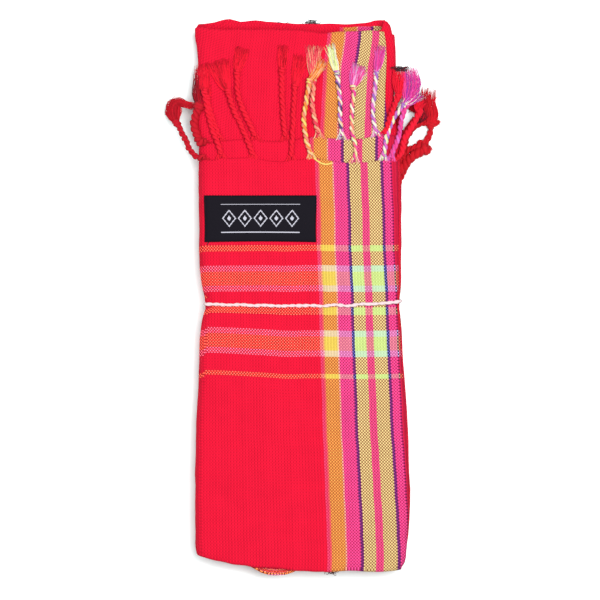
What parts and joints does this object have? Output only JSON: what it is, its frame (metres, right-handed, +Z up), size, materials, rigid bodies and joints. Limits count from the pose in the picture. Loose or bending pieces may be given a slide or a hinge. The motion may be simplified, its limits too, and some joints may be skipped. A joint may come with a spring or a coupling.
{
  "type": "folded striped cotton wrap with fringe",
  "caption": "Striped cotton wrap folded into a long flat parcel, its knotted fringe laid over the upper end, tied round the waist with string.",
  "frame": {"origin": "on the surface that the parcel rests on, under the middle of its outline seen from above", "axes": "+X across the parcel towards the striped side, +Y along it towards the fringed end, +Z up"},
  "size_m": [0.2226, 0.4432, 0.0328],
  "materials": {
    "cotton_weave": "matt plain weave with coloured stripes",
    "fringe_yarn": "matt twisted cotton",
    "woven_label": "fine matt weave",
    "twine": "matt twisted twine"
  },
  "bodies": {
    "root": {"cloth": "cotton_weave", "fringe_front": "fringe_yarn", "fringe_inner": "fringe_yarn", "fringe_under": "fringe_yarn", "label": "woven_label", "string": "twine"}
  },
  "joints": []
}
